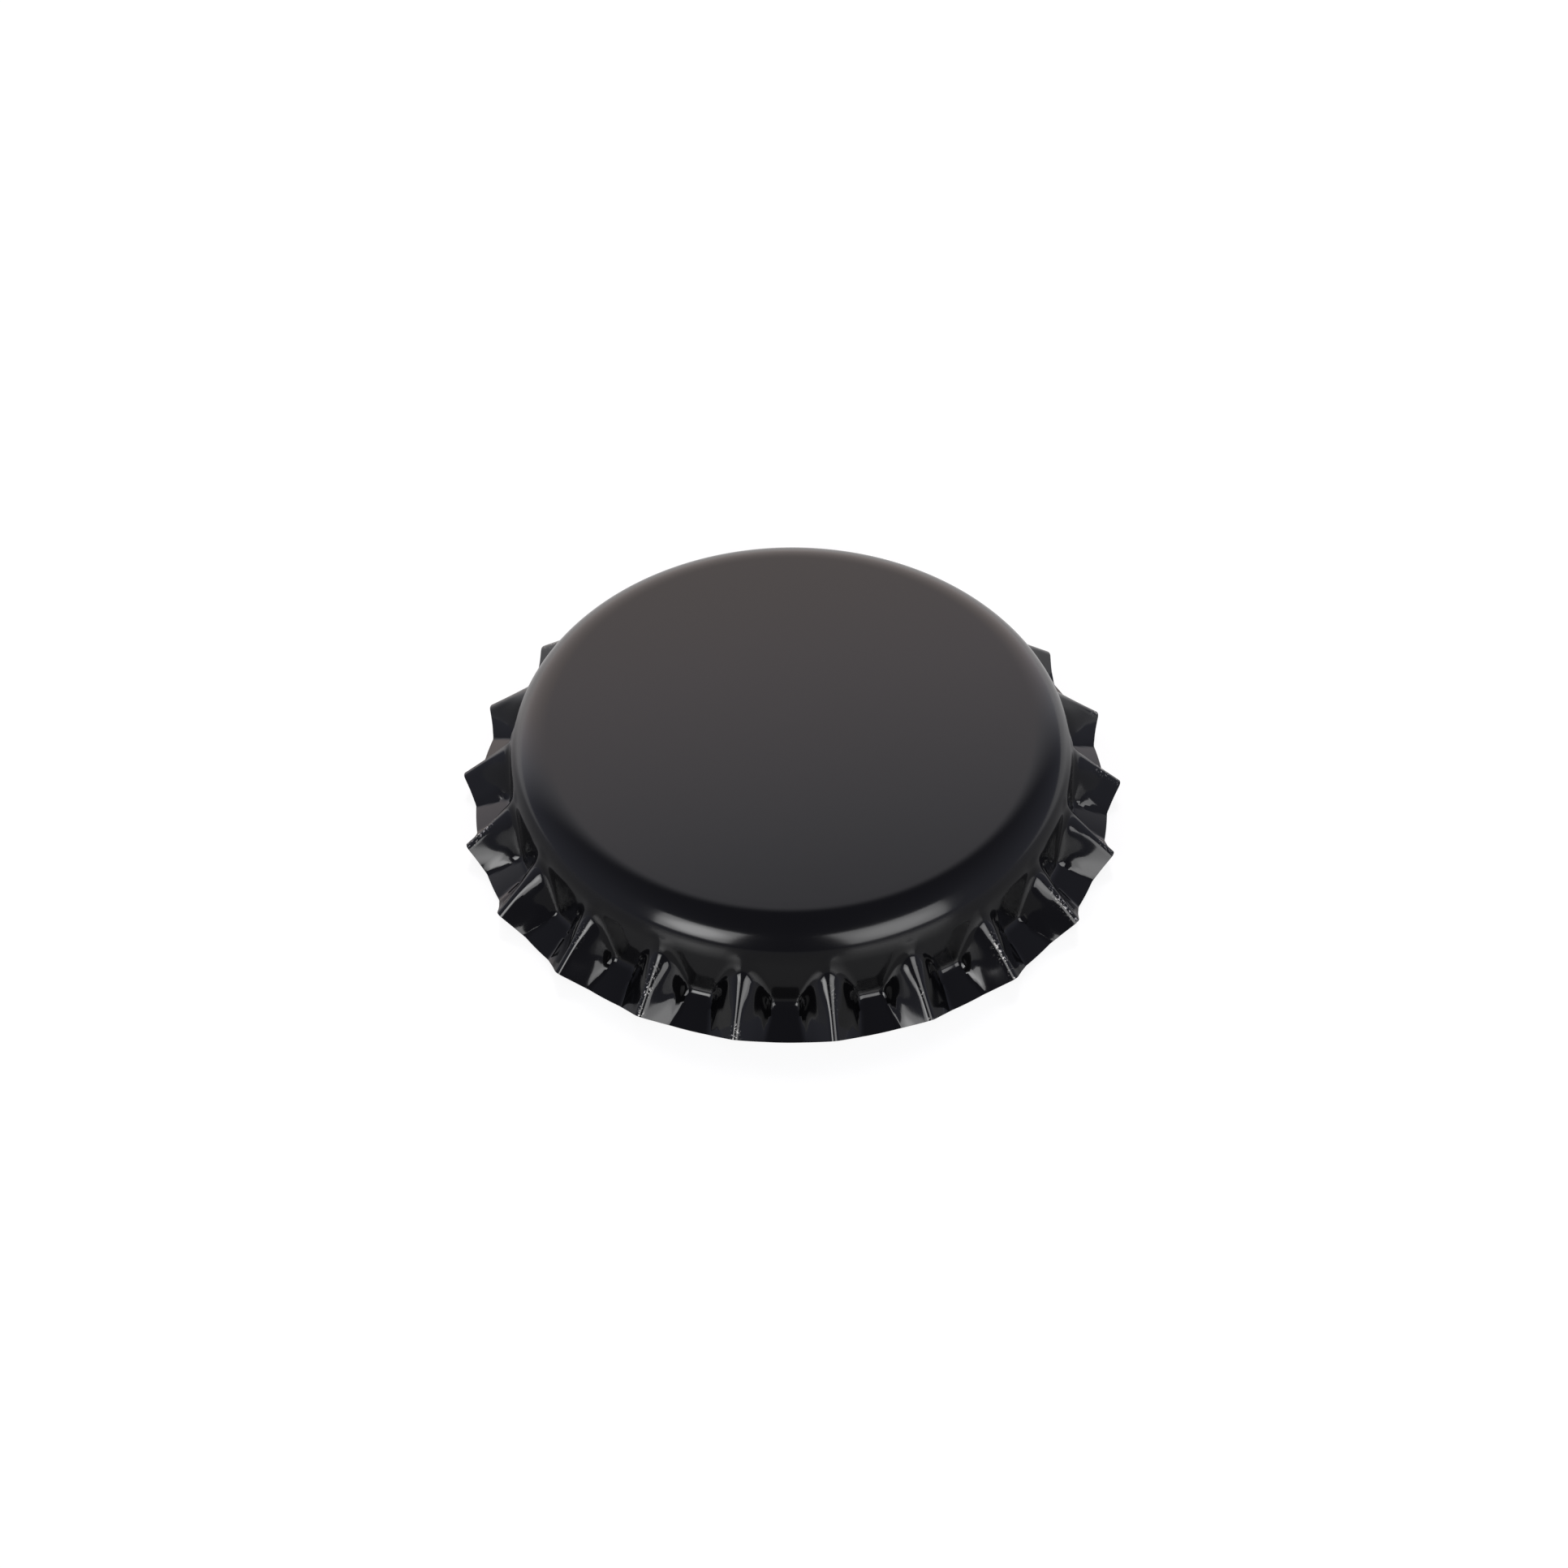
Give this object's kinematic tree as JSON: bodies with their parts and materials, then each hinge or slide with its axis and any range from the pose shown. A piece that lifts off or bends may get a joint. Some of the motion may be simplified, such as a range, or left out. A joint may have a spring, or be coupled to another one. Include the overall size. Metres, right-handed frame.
{
  "type": "bottle cap",
  "caption": "Crimped crown cap for a bottle mouth: a domed panel, a fluted flaring skirt and a moulded sealing liner inside.",
  "frame": {"origin": "on the cap's axis, in the plane that the cap stands on, skirt down", "axes": "+Z along the cap's axis, from the open mouth to the domed panel; a flute's floor lies over +X and a ridge over -X"},
  "size_m": [0.0319, 0.032, 0.006],
  "materials": {
    "black_lacquer": "gloss",
    "liner_polymer": "satin"
  },
  "bodies": {
    "root": {"crown_shell": "black_lacquer", "sealing_liner": "liner_polymer"}
  },
  "joints": []
}
